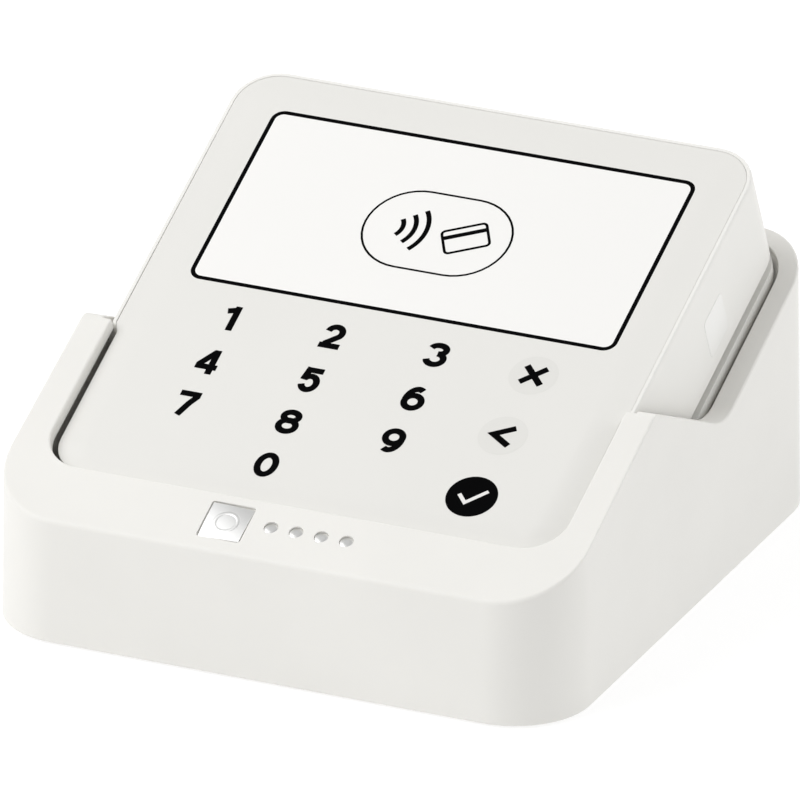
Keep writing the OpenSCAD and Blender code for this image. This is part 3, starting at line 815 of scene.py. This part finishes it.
def ribbon(line, width, closed=False):
    """Flat band of even width along a line of 2D points."""
    pts = [Vector(p) for p in line]
    n = len(pts)
    left, right = [], []
    most = 0.35  # keeps a sharp corner's outside from running off
    for i, p in enumerate(pts):
        before = pts[(i - 1) % n] if closed or i else None
        after = pts[(i + 1) % n] if closed or i < n - 1 else None
        a = (p - before).normalized() if before is not None else None
        b = (after - p).normalized() if after is not None else None
        a = b if a is None else a
        b = a if b is None else b
        t = (a + b).normalized()
        across = Vector((-t.y, t.x)) * (width / 2 / max(t.dot(a), most))
        left.append(p + across)
        right.append(p - across)
    return left, right


def print_signs(name, bands, discs, look, h0=-0.01, h1=0.02):
    """Thin printed shapes on the reader's face: bands along lines, and filled outlines."""
    parts = []
    top = h1
    for i, (line, width, closed) in enumerate(bands):
        # Bands that cross do not share a plane
        h1 = top + 0.004 * (i % 3)
        left, right = ribbon(line, width, closed)
        rows = [[on_face(p.x, p.y, h) for p in side]
                for side, h in ((left, h0), (left, h1), (right, h1), (right, h0))]
        n = len(left)
        verts = [p for row in rows for p in row]
        faces = []
        for r in range(4):
            s = (r + 1) % 4
            for i in range(n if closed else n - 1):
                j = (i + 1) % n
                faces.append((r * n + i, r * n + j, s * n + j, s * n + i))
        if not closed:
            faces.append((0, n, 2 * n, 3 * n))
            faces.append((n - 1, 2 * n - 1, 3 * n - 1, 4 * n - 1))
        parts.append((verts, faces))
    for outline in discs:
        parts.append(slab(outline, h0, top, on_face))
    obj = new_object(name, *join(parts))
    finish_piece(obj, "reader", look)


# Digits are drawn as centre lines of their strokes, in a cell 1 high and 0.68 or 0.76 wide
DIGIT_H = 4.8
STROKE = 1.03
HALF_STROKE = STROKE / DIGIT_H / 2


def digit_width(d):
    return 0.76 if d in (0, 3, 6, 8, 9) else 0.68


def digit_lines(d):
    """Lines of a digit, each with whether it is closed."""
    wide = digit_width(d)
    x0, x1, y0, y1 = HALF_STROKE, wide - HALF_STROKE, HALF_STROKE, 1 - HALF_STROKE
    cx = wide / 2
    rx = (x1 - x0) / 2
    bowl = 0.5 * (0.62 - HALF_STROKE)
    # The 3 and the 8: lower loop up to 0.56, upper loop from 0.54
    lower = 0.5 * (0.56 - HALF_STROKE)
    upper = 0.5 * (1 - HALF_STROKE - 0.54)
    if d == 0:
        return [(arc(cx, 0.5, rx, 0, 352, 44, ry=(y1 - y0) / 2), True)]
    if d == 1:
        return [([(0.43, 0), (0.43, 1)], False),
                ([(0.47, 0.93), (0.36, 0.84), (0.12, 0.76)], False)]
    if d == 2:
        hook = arc(cx, y1 - rx, rx, 172, -38, 22)
        return [(hook + [(x0 + 0.04, y0 + 0.06)], False), ([(0, y0), (wide, y0)], False)]
    if d == 3:
        return [(arc(cx - 0.01, 0.54 + upper, rx - 0.02, 168, -84, 22, ry=upper), False),
                (arc(cx, y0 + lower, rx, 86, -168, 24, ry=lower), False)]
    if d == 4:
        return [([(0.5, 0), (0.5, 1)], False), ([(0.47, 0.93), (0.07, 0.33)], False),
                ([(-0.01, 0.29), (wide + 0.02, 0.29)], False)]
    if d == 5:
        return [([(wide - 0.05, y1), (0.14, y1)], False), ([(0.17, 1), (0.1, 0.48)], False),
                (arc(cx - 0.01, y0 + bowl + 0.01, rx, 146, -164, 26, ry=bowl + 0.02), False)]
    if d == 6:
        stem = arc(cx + 0.03, 0.42, rx + 0.03, 178, 62, 14, ry=0.47)
        return [(arc(cx, y0 + bowl, rx, 0, 352, 36, ry=bowl), True), (stem, False)]
    if d == 7:
        return [([(0, y1), (wide, y1)], False),
                ([(wide - 0.08, y1 - 0.04), (0.42, 0.52), (0.22, 0)], False)]
    if d == 8:
        return [(arc(cx, 0.54 + upper, rx - 0.03, 0, 352, 32, ry=upper), True),
                (arc(cx, y0 + lower, rx, 0, 352, 36, ry=lower), True)]
    # The 9 is the 6 turned half round
    return [([(wide - x, 1 - y) for x, y in line], closed) for line, closed in digit_lines(6)]


# Places on the face, up from the middle of the display
FACE_MID = (border_lo[1] + border_hi[1]) / 2
COLUMNS = (-24.4, -7.9, 8.7)
ROWS = [FACE_MID + v for v in (-23.8, -32.7, -41.2, -49.9)]
SIGN_X = 24.45
SIGN_Y = [FACE_MID + v for v in (-24.4, -36.6, -48.9)]


def build_keypad():
    """Ten digits, and the cancel, back and confirm signs on their round grounds."""
    bands = []
    for d in range(10):
        col, row = ((d - 1) % 3, (d - 1) // 3) if d else (1, 3)
        for line, closed in digit_lines(d):
            placed = [(COLUMNS[col] + (x - digit_width(d) / 2) * DIGIT_H,
                       ROWS[row] + (y - 0.5) * DIGIT_H) for x, y in line]
            bands.append((placed, STROKE, closed))
    cancel_y, back_y, confirm_y = SIGN_Y
    cross, arrow, arm, disc_r, confirm_r, circle_n = 1.64, 1.75, 1.0, 3.75, 3.9, 72
    for s in (-1, 1):
        bands.append(([(SIGN_X - cross, cancel_y - s * cross),
                       (SIGN_X + cross, cancel_y + s * cross)], arm, False))
    bands.append(([(SIGN_X + 1.45, back_y + arrow), (SIGN_X - 1.5, back_y),
                   (SIGN_X + 1.45, back_y - arrow)], arm, False))
    print_signs("keypad_print", bands, [disc(SIGN_X, confirm_y, confirm_r, circle_n)], "ink",
                h1=0.03)
    print_signs("cancel_disc", [], [disc(SIGN_X, y, disc_r, circle_n)
                                    for y in (cancel_y, back_y)],
                "disc", h1=0.012)
    tick = [(SIGN_X - 2.0, confirm_y + 0.1), (SIGN_X - 0.6, confirm_y - 1.35),
            (SIGN_X + 2.1, confirm_y + 1.45)]
    print_signs("confirm_tick", [(tick, 0.6, False)], [], "white_ink", h0=0.02,
                h1=0.045)


build_keypad()


def build_pictogram():
    """Plain sign for paying by card: a long frame, three waves and a tilted card."""
    cx, cy = -0.5, FACE_MID - 0.9
    outline = pill(23.2, 15.4, 20)
    lines = [([(cx + x, cy + y) for x, y in outline], 0.34, True)]
    for i in range(3):
        lines.append((arc(cx - 8.2, cy, 2.6 + 1.9 * i, -38, 38, 14), 0.75, False))
    half_w, half_h, off, tilt = 3.4, 2.3, 4.6, math.radians(28)

    def turned(points):
        c, s = math.cos(tilt), math.sin(tilt)
        return [(cx + off + x * c - y * s, cy + x * s + y * c) for x, y in points]

    card = round_rect(-half_w, -half_h, half_w, half_h, 0.6, 4)
    lines.append((turned(card), 0.42, True))
    lines.append((turned([(-half_w, 0.9), (half_w, 0.9)]), 0.75, False))
    print_signs("display_sign", lines, [], "ink", h1=0.02)


build_pictogram()

# ------------------------------------------------------------------ stage, light, camera


def build_stage():
    size = 6.0
    mesh = bpy.data.meshes.new("floor")
    mesh.from_pydata([(-size, -size, 0), (size, -size, 0), (size, size, 0), (-size, size, 0)], [],
                     [(0, 1, 2, 3)])
    floor = bpy.data.objects.new("floor", mesh)
    bpy.context.scene.collection.objects.link(floor)
    floor.data.materials.append(material("floor_white", (0.4, 0.4, 0.4), 0.9, tint=0.0,
                                         specular=0.1, emission=1.65))
    floor.location.z = -0.00002  # just under the object, so that the two never share a plane


build_stage()


def area_light(name, azimuth, height, distance, size, share):
    """Square lamp that faces the object; share is the light it sends there, white being 1."""
    middle = Vector((0, 0, 0.025))
    a, e = math.radians(azimuth), math.radians(height)
    way = Vector((math.sin(a) * math.cos(e), -math.cos(a) * math.cos(e), math.sin(e)))
    data = bpy.data.lights.new(name, "AREA")
    data.size = size
    data.energy = share * math.pi ** 2 * distance ** 2
    obj = bpy.data.objects.new(name, data)
    bpy.context.scene.collection.objects.link(obj)
    obj.location = middle + way * distance
    obj.rotation_euler = (-way).to_track_quat("-Z", "Y").to_euler()


# Azimuth from the front and height in degrees, distance and size in metres
area_light("key", azimuth=-50, height=44, distance=1.6, size=1.1, share=0.58)
area_light("top", azimuth=-92, height=56, distance=1.6, size=0.75, share=0.08)
area_light("side", azimuth=118, height=38, distance=1.5, size=0.9, share=0.26)
area_light("rear", azimuth=170, height=35, distance=1.6, size=1.0, share=0.15)

world = bpy.data.worlds.new("studio")
bpy.context.scene.world = world
world.use_nodes = True
sky = world.node_tree.nodes["Background"]
sky.inputs["Color"].default_value = (1, 1, 1, 1)
sky.inputs["Strength"].default_value = 0.5

scene = bpy.context.scene
scene.view_settings.view_transform = "Standard"
camera = bpy.data.objects.new("camera", bpy.data.cameras.new("camera"))
scene.collection.objects.link(camera)
# Long lens from far off: the photo is close to parallel
camera.data.sensor_width = 36
camera.data.lens = 738
camera.data.clip_end = 50
right = Vector((0.9122, 0.4098, 0.00035)).normalized()
back = Vector((0.3754, -0.8360, 0.4002)).normalized()
up = back.cross(right).normalized()
right = up.cross(back)
turn = Matrix((right, up, back)).transposed().to_4x4()
camera.matrix_world = Matrix.Translation((0.90599, -2.01839, 0.99190)) @ turn
scene.camera = camera
